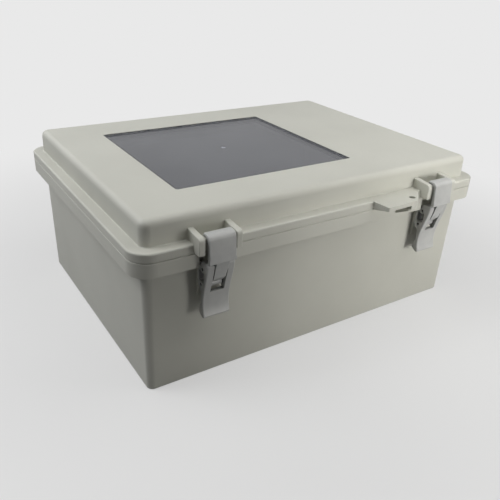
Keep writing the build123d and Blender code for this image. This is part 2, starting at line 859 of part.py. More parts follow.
    for name, (pin_y, pin_z) in {
        "lever_pin_": (pivot_y, pivot_z),
        "hook_pin_": (hook_y, hook_z),
    }.items():
        with BuildPart() as pin:
            with BuildSketch(Plane.YZ.offset(x - pin_length / 2)):
                with Locations((pin_y, pin_z)):
                    Circle(pin_radius)
            extrude(amount=pin_length)
        pin.part.label = name + side
        export_step(pin.part, "parts/" + name + side + ".step")
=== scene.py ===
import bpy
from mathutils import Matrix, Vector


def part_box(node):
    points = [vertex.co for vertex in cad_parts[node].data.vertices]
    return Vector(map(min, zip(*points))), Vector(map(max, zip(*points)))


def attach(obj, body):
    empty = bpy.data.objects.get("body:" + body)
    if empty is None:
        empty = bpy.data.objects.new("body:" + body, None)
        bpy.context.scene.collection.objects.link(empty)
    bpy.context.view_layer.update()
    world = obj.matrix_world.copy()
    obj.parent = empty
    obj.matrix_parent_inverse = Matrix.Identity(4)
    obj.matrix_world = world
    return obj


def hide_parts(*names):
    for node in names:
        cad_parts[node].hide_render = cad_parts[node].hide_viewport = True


bl_info = {
    "name": "Hinged Window Enclosure",
    "version": (1, 0, 0),
    "blender": (4, 5, 0),
    "location": "View3D > Sidebar > Enclosure",
    "description": "Finishes and fasteners of a hinged plastic box with a tinted window",
    "category": "Object",
}

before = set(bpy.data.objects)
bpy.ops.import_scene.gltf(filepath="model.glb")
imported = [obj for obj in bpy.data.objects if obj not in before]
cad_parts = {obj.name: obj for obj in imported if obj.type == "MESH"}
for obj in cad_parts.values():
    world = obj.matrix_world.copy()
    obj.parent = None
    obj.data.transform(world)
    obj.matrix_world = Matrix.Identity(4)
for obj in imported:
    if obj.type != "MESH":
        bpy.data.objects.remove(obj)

import math

import bmesh
import bpy
from bpy.props import FloatProperty, FloatVectorProperty, IntProperty, PointerProperty
from mathutils import Matrix, Vector

MM = 0.001

# The photograph's frame is square; its lens axis meets it a fraction of a pixel off the centre.
PHOTO_SIDE = 500
LENS_AXIS = (249.687, 248.575)

# Angle between two faces from which their edge is drawn sharp.
SHARP = math.radians(32)

# Solids of one CAD node whose axes are further apart than this are separate pieces.
APART = 12 * MM

# Share of the ball's half height at which a screw's crown is cut level.
CROWN = 0.72


def linear(code):
    """Linear colour of an sRGB hex code such as CFCFC6."""
    shades = [int(code[i : i + 2], 16) / 255 for i in (0, 2, 4)]
    return tuple(c / 12.92 if c <= 0.04045 else ((c + 0.055) / 1.055) ** 2.4 for c in shades)


def colour(name, description, code):
    """Colour property with an sRGB hex code as its default."""
    return FloatVectorProperty(
        name=name, description=description, subtype="COLOR", min=0, max=1, default=linear(code)
    )


def length(name, description, millimetres):
    """Length property with its default in millimetres."""
    return FloatProperty(
        name=name, description=description, default=millimetres * MM, min=0, unit="LENGTH", precision=5
    )


def share(name, description, value):
    """Factor property from 0 to 1."""
    return FloatProperty(
        name=name, description=description, default=value, min=0, max=1, subtype="FACTOR"
    )


def number(name, description, value, low, high):
    """Whole number property between two limits."""
    return IntProperty(name=name, description=description, default=value, min=low, max=high)


def angle(name, description, degrees):
    """Angle property with its default in degrees."""
    return FloatProperty(
        name=name, description=description, default=math.radians(degrees), subtype="ANGLE"
    )


class HousingSettings(bpy.types.PropertyGroup):
    plastic: colour("Plastic", "Colour of the moulded housing", "CECEC5")
    shade: colour("Shade", "Slightly darker tone that the moulding drifts to", "C8C8BF")
    # The edge tone is a painted highlight along the softened edges.
    edge_highlight: colour("Edge highlight", "Tone of edges that handling has polished", "DCDCD4")
    grain: length("Grain", "Distance between the bumps of the mould's fine grain", 1.4)
    grain_depth: length("Grain depth", "Height of the mould's fine grain", 0.02)
    edge: length("Edge", "Radius of the softened edges", 0.5)
    roughness: share("Roughness", "Roughness of the grained surface", 0.52)


class LatchSettings(bpy.types.PropertyGroup):
    plastic: colour("Plastic", "Colour of levers and hooks", "BFC0BE")
    shade: colour("Shade", "Darker tone near the moulding's gate", "B5B6B5")
    # The edge tone is a painted highlight along the softened edges.
    edge_highlight: colour("Edge highlight", "Tone of edges that fingers have polished", "CDCECB")
    # The pocket colour is painted shade, laid where the walls of a pocket stand close.
    painted_shade: colour("Pocket shade", "Colour of what gathers in the pockets", "1A1B1C")
    crevice: share("Crevice", "How much grime the deepest pockets hold", 0.9)
    reach: length("Reach", "How near the walls of a pocket stand", 7.0)
    grain: length("Grain", "Distance between the bumps of the mould's fine grain", 1.2)
    grain_depth: length("Grain depth", "Height of the mould's fine grain", 0.008)
    edge: length("Edge", "Radius of the softened edges", 0.4)
    roughness: share("Roughness", "Roughness of the smooth surface", 0.38)


class WindowSettings(bpy.types.PropertyGroup):
    tint: colour("Tint", "Smoke tint of the clear panel", "6B6D74")
    deep_tint: colour("Deep tint", "Tint where the light runs along the lip and not across it", "30363E")
    opacity: share("Opacity", "How much of the inside the tint hides", 0.62)
    haze: share("Haze", "Roughness of the polished panel", 0.16)
    # The streaks are painted highlights: paler rays that run out from the gate.
    streaks: share("Streaks", "Strength of the flow lines that run out from the gate", 0.07)
    margin: length("Margin", "How far the panel's plate reaches under the lid", 10.0)
    plate_corner: length("Plate corner", "Corner radius of the plate", 4.0)
    corner: length("Corner", "Corner radius of the opening", 2.5)
    gap: length("Gap", "Gap between the panel's lip and the opening", 0.25)
    below: length("Below", "How far the lip lies below the lid's face", 0.4)
    lip: length("Lip", "Width of the lip round the panel", 1.3)
    lip_height: length("Lip height", "Height of the lip above the panel's face", 1.3)
    foot: length("Foot", "Radius at the foot of the lip", 0.9)
    wall: length("Wall", "Thickness of the panel in its raised middle", 3.0)
    gate: length("Gate", "Radius of the mark that the gate left", 3.0)


class SealSettings(bpy.types.PropertyGroup):
    foam: colour("Foam", "Colour of the sealing cord", "1E1F20")
    cell: length("Cell", "Size of the foam's cells, drawn coarse enough to show", 0.9)
    corner: length("Corner", "Radius of the cord's long edges", 0.9)
    steps: number("Steps", "Facets in each rounded corner of the cord's path", 14, 4, 32)


class ScrewSettings(bpy.types.PropertyGroup):
    metal: colour("Zinc", "Colour of the zinc plating", "B9BBBD")
    shank: length("Shank", "Radius of the shank over its thread", 1.5)
    pitch: length("Pitch", "Distance between two turns of the thread", 1.1)
    thread: length("Thread", "Width of the thread's ridge", 0.34)
    recess: length("Recess", "Length of each arm of the cross recess", 3.2)
    recess_width: length("Recess width", "Width of each arm of the cross recess", 0.8)
    recess_depth: length("Recess depth", "Depth of the cross recess", 1.1)


class InsertSettings(bpy.types.PropertyGroup):
    metal: colour("Brass", "Colour of the turned brass", "C9A85A")
    knurls: number("Knurls", "Ridges round each insert", 24, 8, 48)
    knurl_depth: length("Knurl depth", "Depth of the ridges round each insert", 0.18)
    pitch: length("Pitch", "Distance between two turns of the inner thread", 0.9)
    thread: length("Thread", "Width of the inner thread's ridge", 0.3)


class PinSettings(bpy.types.PropertyGroup):
    metal: colour("Steel", "Colour of the ground steel pins", "A9AAAC")
    line: length("Line", "Distance between the grinding lines, drawn coarse enough to show", 0.25)


class StageSettings(bpy.types.PropertyGroup):
    backdrop: colour("Backdrop", "Colour of the floor and what lies behind it", "E9E9E9")
    bounce: colour("Bounce", "Colour that the floor throws back on the box", "7C7C7C")
    ambient: share("Ambient", "Strength of the light from all round", 0.0)
    glow: share("Glow", "How much of the floor near the box is plain backdrop", 0.55)
    fade_from: length("Fade from", "Distance at which the shadow starts to fade", 260)
    fade_to: length("Fade to", "Distance at which the floor is plain backdrop", 620)
    side: length("Side", "Distance from the middle of the floor to its sides", 4000)
    lens: FloatProperty(
        name="Lens",
        description="Focal length in millimetres",
        default=41.736,
        min=10,
        max=300,
        subtype="DISTANCE_CAMERA",
    )
    place: FloatVectorProperty(
        name="Place",
        description="Where the camera stands",
        default=(-0.341097, -0.512889, 0.353208),
        subtype="TRANSLATION",
        unit="LENGTH",
        precision=5,
    )
    azimuth: angle("Azimuth", "Turn of the camera round the box", -34.035)
    elevation: angle("Elevation", "Angle at which the camera looks down", 27.328)
    roll: angle("Roll", "Tilt of the camera", 2.844)


# Softboxes: name, place, point that it faces, width and height in metres, watts, spread and warmth.
SOFTBOXES = (
    ("overhead", (0.0, -0.1, 1.4), (0.0, 0.0, 0.08), 1.2, 1.2, 4.9, 180, (1.0, 1.0, 0.985)),
    ("left_above", (-0.8, 0.3, 0.9), (0.0, 0.0, 0.08), 0.6, 0.6, 5.8, 180, (0.98, 0.99, 1.0)),
    ("behind", (-0.5, 1.2, 0.8), (0.0, 0.0, 0.08), 0.8, 0.8, 3.0, 180, (1.0, 1.0, 1.0)),
    ("right_near", (0.35, -0.30, 0.55), (0.15, -0.14, 0.12), 0.5, 0.45, 1.3, 180, (1.0, 0.99, 0.96)),
    ("front_low", (0.23, -0.76, 0.14), (0.12, -0.14, 0.09), 0.3, 0.3, 0.26, 60, (1.0, 0.985, 0.95)),
    ("front_right", (0.22, -0.80, 0.155), (0.30, -0.14, 0.17), 0.3, 0.3, 0.18, 60, (1.0, 0.985, 0.95)),
)


def add(tree, kind, inputs=None, **settings):
    """Adds a node, then sets its properties and its inputs.

    An input is a value, a socket, a node that gives its first output, or a list of sources.
    """
    node = tree.nodes.new(kind)
    for key, value in settings.items():
        setattr(node, key, value)
    for key, value in (inputs or {}).items():
        for source in value if isinstance(value, list) else [value]:
            if isinstance(source, bpy.types.Node):
                source = next(socket for socket in source.outputs if socket.enabled)
            if isinstance(source, bpy.types.NodeSocket):
                tree.links.new(source, node.inputs[key])
            else:
                node.inputs[key].default_value = source
    return node


def rgba(values, factor=1.0):
    """Colour with full alpha, made paler or darker by a factor and kept below white."""
    return (*(min(1.0, c * factor) for c in values), 1.0)


def new_material(name):
    """Empty node material, its tree and its object coordinates."""
    material = bpy.data.materials.new(name)
    material.use_nodes = True
    tree = material.node_tree
    tree.nodes.clear()
    return material, tree, add(tree, "ShaderNodeTexCoord").outputs["Object"]


def shell_plastic(name, settings, drift_size, pockets=False):
    """Plastic from an injection mould: a drifting tone, a fine grain, and softened edges painted lighter as
    a highlight and made glossier.
    """
    material, tree, place = new_material(name)
    # Tone drifts slowly across the part, as pigment does where the melt flowed.
    drift = add(
        tree,
        "ShaderNodeTexNoise",
        {"Vector": place, "Scale": 1 / drift_size, "Detail": 3.0, "Roughness": 0.55},
    )
    drift = add(tree, "ShaderNodeMapRange", {"Value": drift, "From Min": 0.36, "From Max": 0.64})
    tone = add(
        tree,
        "ShaderNodeMix",
        {"Factor": drift, "A": rgba(settings.plastic), "B": rgba(settings.shade)},
        data_type="RGBA",
    )
    # The softened edge is where the rounded normal leaves the flat one; there the colour is painted
    # lighter, a painted highlight along the edges.
    soft = add(tree, "ShaderNodeBevel", {"Radius": settings.edge}, samples=6)
    flat = add(tree, "ShaderNodeNewGeometry").outputs["Normal"]
    turn = add(tree, "ShaderNodeVectorMath", {0: soft, 1: flat}, operation="DOT_PRODUCT")
    edge_mask = add(
        tree,
        "ShaderNodeMapRange",
        {"Value": turn, "From Min": 0.995, "From Max": 0.80, "To Max": 0.55},
    )
    final = add(
        tree,
        "ShaderNodeMix",
        {"Factor": edge_mask, "A": tone, "B": rgba(settings.edge_highlight)},
        data_type="RGBA",
    )
    # The grain sets the gloss as well, and the softened edges are glossier than the rest.
    fine = add(
        tree,
        "ShaderNodeTexNoise",
        {"Vector": place, "Scale": 1 / settings.grain, "Detail": 2.0, "Roughness": 0.6},
    )
    gloss = add(
        tree,
        "ShaderNodeMapRange",
        {
            "Value": fine,
            "From Min": 0.3,
            "From Max": 0.7,
            "To Min": settings.roughness - 0.04,
            "To Max": settings.roughness + 0.04,
        },
    )
    gloss = add(tree, "ShaderNodeMath", {0: edge_mask, 1: -0.14, 2: gloss}, operation="MULTIPLY_ADD")
    if pockets:
        # Painted shade: the pockets are painted dark where their walls stand close, standing in for the
        # shadow deep inside them.
        hollow = add(
            tree,
            "ShaderNodeAmbientOcclusion",
            {"Distance": settings.reach, "Color": (1, 1, 1, 1)},
            samples=8,
        ).outputs["AO"]
        painted_shade = add(
            tree,
            "ShaderNodeMapRange",
            {
                "Value": hollow,
                "From Min": 0.22,
                "From Max": 0.62,
                "To Min": settings.crevice,
                "To Max": 0.0,
            },
        )
        final = add(
            tree,
            "ShaderNodeMix",
            {"Factor": painted_shade, "A": final, "B": rgba(settings.painted_shade)},
            data_type="RGBA",
        )
    bump = add(
        tree,
        "ShaderNodeBump",
        {"Strength": 0.5, "Distance": settings.grain_depth, "Height": fine, "Normal": soft},
    )
    shader = add(
        tree,
        "ShaderNodeBsdfPrincipled",
        {"Base Color": final, "Roughness": gloss, "IOR": 1.52, "Normal": bump},
    )
    add(tree, "ShaderNodeOutputMaterial", {"Surface": shader})
    return material


def clear_panel(settings, gate):
    """Smoke-tinted polycarbonate from a polished mould: a glossy blue-grey that half hides the inside."""
    material, tree, place = new_material("smoke_tinted_polycarbonate")
    # Faint paler rays run out from the gate in the middle and fade on the way: a painted highlight of the
    # light that the glossy face catches round the gate.
    from_gate = add(tree, "ShaderNodeVectorMath", {0: place, 1: gate}, operation="SUBTRACT")
    ray = add(tree, "ShaderNodeVectorMath", {0: from_gate}, operation="NORMALIZE")
    far = add(tree, "ShaderNodeVectorMath", {0: from_gate}, operation="LENGTH")
    rays = add(
        tree, "ShaderNodeTexNoise", {"Vector": ray, "Scale": 5.0, "Detail": 3.0, "Roughness": 0.6}
    )
    fade = add(
        tree,
        "ShaderNodeMapRange",
        {
            "Value": far,
            "From Min": 0.0,
            "From Max": 110 * MM,
            "To Min": settings.streaks,
            "To Max": 0.0,
        },
        interpolation_type="SMOOTHSTEP",
    )
    ray_highlight = add(tree, "ShaderNodeMath", {0: rays, 1: fade}, operation="MULTIPLY")
    # The gate's own mark is frosted.
    frosted = add(
        tree,
        "ShaderNodeMapRange",
        {
            "Value": far,
            "From Min": settings.gate * 0.7,
            "From Max": settings.gate,
            "To Min": 1.0,
            "To Max": 0.0,
        },
    )
    paler = add(tree, "ShaderNodeMath", {0: ray_highlight, 1: frosted}, operation="ADD")
    # The tint is painted lighter and darker in clouds, a painted reflection of the uneven light on the
    # glossy face, and it deepens in the lip, where light runs along the plastic.
    cloud = add(
        tree,
        "ShaderNodeTexNoise",
        {"Vector": place, "Scale": 1 / (70 * MM), "Detail": 3.0, "Roughness": 0.5},
    )
    tint = add(
        tree,
        "ShaderNodeMix",
        {"Factor": cloud, "A": rgba(settings.tint, 1.3), "B": rgba(settings.tint, 0.75)},
        data_type="RGBA",
    )
    tint = add(
        tree,
        "ShaderNodeMix",
        {"Factor": paler, "A": tint, "B": rgba(settings.tint, 4.0)},
        data_type="RGBA",
    )
    lip = add(tree, "ShaderNodeAttribute", attribute_name="lip", attribute_type="GEOMETRY")
    tint = add(
        tree,
        "ShaderNodeMix",
        {"Factor": lip.outputs["Fac"], "A": tint, "B": rgba(settings.deep_tint)},
        data_type="RGBA",
    )
    haze = add(
        tree,
        "ShaderNodeMapRange",
        {
            "Value": cloud,
            "From Min": 0.3,
            "From Max": 0.7,
            "To Min": settings.haze * 0.8,
            "To Max": settings.haze * 1.25,
        },
    )
    # Wiping leaves fine scratches along one way; real ones are 0.05 mm apart, drawn at about 1 mm.
    stretch = add(
        tree,
        "ShaderNodeMapping",
        {
            "Vector": place,
            "Rotation": (0, 0, math.radians(24)),
            "Scale": (1 / (30 * MM), 1 / (1.1 * MM), 1),
        },
    )
    scratch = add(
        tree,
        "ShaderNodeTexNoise",
        {"Vector": stretch, "Scale": 1.0, "Detail": 2.0, "Roughness": 0.6},
    )
    bump = add(
        tree, "ShaderNodeBump", {"Strength": 0.12, "Distance": 0.01 * MM, "Height": scratch}
    )
    shader = add(
        tree,
        "ShaderNodeBsdfPrincipled",
        {
            "Base Color": tint,
            "Roughness": haze,
            "IOR": 1.585,
            "Alpha": settings.opacity,
            "Normal": bump,
        },
    )
    add(tree, "ShaderNodeOutputMaterial", {"Surface": shader})
    return material


def sealing_foam(settings):
    """Closed-cell EPDM cord: matt near-black with a skin pitted by its cells."""
    material, tree, place = new_material("closed_cell_epdm")
    cells = add(
        tree,
        "ShaderNodeTexVoronoi",
        {"Vector": place, "Scale": 1 / settings.cell, "Randomness": 1.0},
    )
    tone = add(
        tree,
        "ShaderNodeMix",
        {"Factor": cells, "A": rgba(settings.foam, 0.7), "B": rgba(settings.foam, 1.5)},
        data_type="RGBA",
    )
    bump = add(tree, "ShaderNodeBump", {"Strength": 0.6, "Distance": 0.12 * MM, "Height": cells})
    shader = add(
        tree,
        "ShaderNodeBsdfPrincipled",
        {"Base Color": tone, "Roughness": 0.78, "IOR": 1.5, "Normal": bump},
    )
    add(tree, "ShaderNodeOutputMaterial", {"Surface": shader})
    return material


def worked_metal(name, metal, spacing, roughness, depth, along=(1, 1, 1)):
    """Metal with fine lines from the tool or wheel that finished it, run across the given way."""
    material, tree, place = new_material(name)
    scale = tuple(1 / (spacing * k) for k in along)
    lines = add(tree, "ShaderNodeMapping", {"Vector": place, "Scale": scale})
    marks = add(
        tree, "ShaderNodeTexNoise", {"Vector": lines, "Scale": 1.0, "Detail": 2.0, "Roughness": 0.5}
    )
    dull = add(
        tree,
        "ShaderNodeMapRange",
        {
            "Value": marks,
            "From Min": 0.3,
            "From Max": 0.7,
            "To Min": roughness - 0.07,
            "To Max": roughness + 0.07,
        },
    )
    tone = add(
        tree,
        "ShaderNodeMix",
        {"Factor": marks, "A": rgba(metal), "B": rgba(metal, 0.82)},
        data_type="RGBA",
    )
    bump = add(tree, "ShaderNodeBump", {"Strength": 0.3, "Distance": depth, "Height": marks})
    shader = add(
        tree,
        "ShaderNodeBsdfPrincipled",
        {"Base Color": tone, "Metallic": 1.0, "Roughness": dull, "Normal": bump},
    )
    add(tree, "ShaderNodeOutputMaterial", {"Surface": shader})
    return material


def coat(material, *nodes):
    """Puts a material in the slots of CAD nodes."""
    for node in nodes:
        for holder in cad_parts[node].material_slots:
            holder.material = material


def new_tree(name, floats, whole_numbers=()):
    """Geometry node tree with named inputs for points, lengths, whole numbers and a material."""
    tree = bpy.data.node_groups.new(name, "GeometryNodeTree")
    kinds = {"Geometry": "NodeSocketGeometry"}
    kinds.update({label: "NodeSocketFloat" for label in floats})
    kinds.update({label: "NodeSocketInt" for label in whole_numbers})
    kinds["Material"] = "NodeSocketMaterial"
    for label, kind in kinds.items():
        tree.interface.new_socket(name=label, in_out="INPUT", socket_type=kind)
    tree.interface.new_socket(name="Geometry", in_out="OUTPUT", socket_type="NodeSocketGeometry")
    return tree, add(tree, "NodeGroupInput").outputs


def rounded_path(tree, width, height, radius, facets):
    """Rectangle with rounded corners."""
    path = add(
        tree, "GeometryNodeCurvePrimitiveQuadrilateral", {"Width": width, "Height": height}
    )
    return add(
        tree,
        "GeometryNodeFilletCurve",
        {"Curve": path, "Radius": radius, "Count": facets},
        mode="POLY",
    )


def wound_thread(tree, given, radius, run, facets, drop):
    """Ridge of a thread, wound along a run and moved down by a share of it."""
    turns = add(tree, "ShaderNodeMath", {0: run, 1: given["Pitch"]}, operation="DIVIDE")
    winding = add(
        tree,
        "GeometryNodeCurveSpiral",
        {
            "Resolution": facets,
            "Rotations": turns,
            "Start Radius": radius,
            "End Radius": radius,
            "Height": run,
        },
    )
    ridge = add(
        tree, "GeometryNodeCurvePrimitiveCircle", {"Resolution": 4, "Radius": given["Thread Width"]}
    )
    thread = add(
        tree,
        "GeometryNodeCurveToMesh",
        {"Curve": winding, "Profile Curve": ridge, "Fill Caps": True},
    )
    down = add(tree, "ShaderNodeMath", {0: run, 1: -drop}, operation="MULTIPLY")
    lower = add(tree, "ShaderNodeCombineXYZ", {"Z": down})
    return add(tree, "GeometryNodeTransform", {"Geometry": thread, "Translation": lower})


def set_out(tree, given, piece, rotation=(0.0, 0.0, 0.0)):
    """Ends a tree: the piece stands at every point as plain mesh in its material."""
    placed = add(
        tree,
        "GeometryNodeInstanceOnPoints",
        {"Points": given["Geometry"], "Instance": piece, "Rotation": rotation},
    )
    plain = add(tree, "GeometryNodeRealizeInstances", {"Geometry": placed})
    done = add(
        tree, "GeometryNodeSetMaterial", {"Geometry": plain, "Material": given["Material"]}
    )
    add(tree, "NodeGroupOutput", {"Geometry": done})


def smooth_faces(mesh):
    """Draws a mesh smooth but for its sharp edges."""
    mesh.polygons.foreach_set("use_smooth", [True] * len(mesh.polygons))
    mesh.set_sharp_from_angle(angle=SHARP)


def grow(name, points, tree, values):
    """Runs a tree on points, keeps the result as a plain mesh and takes the modifier off."""
    mesh = bpy.data.meshes.new(name)
    mesh.from_pydata(points, [], [])
    piece = bpy.data.objects.new(name, mesh)
    bpy.context.scene.collection.objects.link(piece)
    modifier = piece.modifiers.new("Build", "NODES")
    modifier.node_group = tree
    for item in tree.interface.items_tree:
        if item.in_out == "INPUT" and item.name in values:
            modifier[item.identifier] = values[item.name]
    graph = bpy.context.evaluated_depsgraph_get()
    made = bpy.data.meshes.new_from_object(piece.evaluated_get(graph), depsgraph=graph)
    if not made.polygons:
        raise RuntimeError(f"{name} came out empty")
    made.name = name
    piece.modifiers.remove(modifier)
    piece.data = made
    bpy.data.meshes.remove(mesh)
    smooth_faces(made)
    return piece


def corners(node):
    """Lowest and highest corner of each separate solid of a CAD node whose solids stand upright."""
    groups = []
    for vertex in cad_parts[node].data.vertices:
        for group in groups:
            if (group[0].xy - vertex.co.xy).length < APART:
                group.append(vertex.co.copy())
                break
        else:
            groups.append([vertex.co.copy()])
    return [
        (Vector(map(min, zip(*points))), Vector(map(max, zip(*points)))) for points in groups
    ]


class ENCLOSURE_OT_paint_housing(bpy.types.Operator):
    """Gives the base and the lid the grained light grey of moulded ABS"""

    bl_idname = "enclosure.paint_housing"
    bl_label = "Paint Housing"

    def execute(self, context):
        housing = context.scene.enclosure_housing
        # ABS from a spark-eroded mould: satin, with a grain of about 0.3 mm drawn at 1.4 mm.
        plastic = shell_plastic("moulded_abs", housing, 120 * MM)
        coat(plastic, "base_shell", "lid_shell")
        return {"FINISHED"}


class ENCLOSURE_OT_paint_latches(bpy.types.Operator):
    """Gives levers and hooks the smoother, cooler grey of moulded acetal"""

    bl_idname = "enclosure.paint_latches"
    bl_label = "Paint Latches"

    def execute(self, context):
        latch = context.scene.enclosure_latch
        # Acetal from a plain mould: smoother than the housing, so its edges catch the light.
        # Its pockets get painted shade.
        plastic = shell_plastic("moulded_acetal", latch, 18 * MM, pockets=True)
        for side in ("left", "right"):
            coat(plastic, "latch_lever_" + side, "latch_hook_" + side)
        return {"FINISHED"}


def rounded_ring(centre, half, radius, height, steps):
    """Points of a level rounded rectangle, anticlockwise from its right side."""
    ring = []
    for corner, (side_x, side_y) in enumerate(((1, 1), (-1, 1), (-1, -1), (1, -1))):
        for step in range(steps + 1):
            bend = math.pi / 2 * (corner + step / steps)
            x = centre.x + side_x * (half.x - radius) + radius * math.cos(bend)
            y = centre.y + side_y * (half.y - radius) + radius * math.sin(bend)
            ring.append(Vector((x, y, height)))
    return ring


def round_ring(centre, radius, height, like):
    """Level circle whose points lie in the same directions as those of another ring."""
    ring = []
    for point in like:
        out = Vector((point.x - centre.x, point.y - centre.y)).normalized() * radius
        ring.append(Vector((centre.x + out.x, centre.y + out.y, height)))
    return ring


def skin(name, rings):
    """Closed mesh through a stack of rings of as many points each, with both ends covered."""
    mesh = bpy.data.meshes.new(name)
    count = len(rings[0])
    last = count * (len(rings) - 1)
    faces = [list(range(count))[::-1], list(range(last, last + count))]
    for here in range(0, last, count):
        for spot in range(count):
            after = (spot + 1) % count
            there = here + count
            faces.append((here + spot, here + after, there + after, there + spot))
    mesh.from_pydata([point for ring in rings for point in ring], [], faces)
    turned = bmesh.new()
    turned.from_mesh(mesh)
    bmesh.ops.recalc_face_normals(turned, faces=turned.faces)
    turned.to_mesh(mesh)
    turned.free()
    smooth_faces(mesh)
    return mesh


class ENCLOSURE_OT_fit_window(bpy.types.Operator):
    """Fits the moulded panel, which fills the opening inside a thin lip, and finishes the frame below it"""

    bl_idname = "enclosure.fit_window"
    bl_label = "Fit Window"

    def execute(self, context):
        window = context.scene.enclosure_window
        housing = context.scene.enclosure_housing
        self.mould_panel(context, window)
        plastic = shell_plastic("moulded_abs_frame", housing, 60 * MM)
        coat(plastic, "window_frame")
        return {"FINISHED"}

    def mould_panel(self, context, window):
        low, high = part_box("window_panel")
        centre = (low + high) / 2
        opening = ((high - low) / 2).xy - Vector((window.margin, window.margin))
        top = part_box("lid_shell")[1].z - window.below
        face = top - window.lip_height
        soft = 0.2 * MM
        least_corner = 0.6 * MM
        facets = 6
        turns = 5
        inside = window.gap + window.lip
        step_in = inside + window.foot
        # The section runs from the middle of the underside round the plate and over the lip to its
        # foot. Each point is the distance in from the opening's edge and the height.
        plate = [
            (step_in + window.wall / 2, face - window.wall),
            (step_in, face - window.wall - window.wall / 2),
            (step_in, low.z),
            (-window.margin, low.z),
            (-window.margin, high.z),
        ]
        lip = [
            (window.gap, high.z),
            (window.gap, top - soft),
            (window.gap + soft, top),
            (inside - soft, top),
            (inside, top - soft),
        ]
        foot = []
        for turn in range(turns + 1):
            bend = math.pi / 2 * turn / turns
            away = inside + window.foot * (1 - math.cos(bend))
            foot.append((away, face + window.foot * (1 - math.sin(bend))))
        # One more ring just past the foot keeps the face's shading flat.
        past_foot = 0.3 * MM
        face_ring = [(step_in + past_foot, face)]
        rings = []
        for inset, height in plate + lip + foot + face_ring:
            corner = window.plate_corner if inset < 0 else max(window.corner - inset, least_corner)
            half = opening - Vector((inset, inset))
            rings.append(rounded_ring(centre, half, corner, height, facets))
        # The gate left a shallow ring with a small nub: shares of its radius, and depths.
        for share_out, drop in ((1.0, 0.0), (0.9, 0.25), (0.45, 0.25), (0.35, 0.0)):
            radius = window.gate * share_out
            rings.append(round_ring(centre, radius, face - drop * MM, rings[-1]))
        mesh = skin("window_panel_moulding", rings)
        # The deep tint reaches from the lip to the first turn of its foot.
        count = len(rings[0])
        on_lip = [0.0] * len(mesh.vertices)
        for ring in range(len(plate), len(plate) + len(lip) + 2):
            on_lip[ring * count : (ring + 1) * count] = [1.0] * count
        mesh.attributes.new("lip", "FLOAT", "POINT").data.foreach_set("value", on_lip)
        mesh.materials.append(clear_panel(window, (centre.x, centre.y, face)))
        panel = bpy.data.objects.new("window_panel_moulding", mesh)
        context.scene.collection.objects.link(panel)
        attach(panel, "lid")
        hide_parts("window_panel")


# Sealing cords: node, width and corner radius of the cord's middle line.
CORDS = (("lid_gasket", 5.0 * MM, 13.5 * MM), ("window_gasket", 4.0 * MM, 3.25 * MM))


class ENCLOSURE_OT_lay_seals(bpy.types.Operator):
    """Lays the foam cord in the lid's channel and the flat seal under the window's edge"""

    bl_idname = "enclosure.lay_seals"
    bl_label = "Lay Seals"

    def execute(self, context):
        seal = context.scene.enclosure_seal
        foam = sealing_foam(seal)
        sizes = ("Length", "Depth", "Corner Radius", "Cord Width", "Cord Height", "Cord Edge")
        tree, given = new_tree("sealing_cord", sizes, ["Steps"])
        path = rounded_path(
            tree, given["Length"], given["Depth"], given["Corner Radius"], given["Steps"]
        )
        section = rounded_path(
            tree, given["Cord Width"], given["Cord Height"], given["Cord Edge"], facets=4
        )
        cord = add(tree, "GeometryNodeCurveToMesh", {"Curve": path, "Profile Curve": section})
        set_out(tree, given, cord)
        # A flat seal's edges are rounded by no more than this share of its height.
        edge_share = 0.3
        for node, width, corner in CORDS:
            low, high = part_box(node)
            height = high.z - low.z
            values = {
                "Length": high.x - low.x - width,
                "Depth": high.y - low.y - width,
                "Corner Radius": corner,
                "Cord Width": width,
                "Cord Height": height,
                "Cord Edge": min(seal.corner, height * edge_share),
                "Steps": seal.steps,
                "Material": foam,
            }
            cord = grow(node + "_cord", [(low + high) / 2], tree, values)
            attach(cord, "lid")
            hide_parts(node)
        return {"FINISHED"}


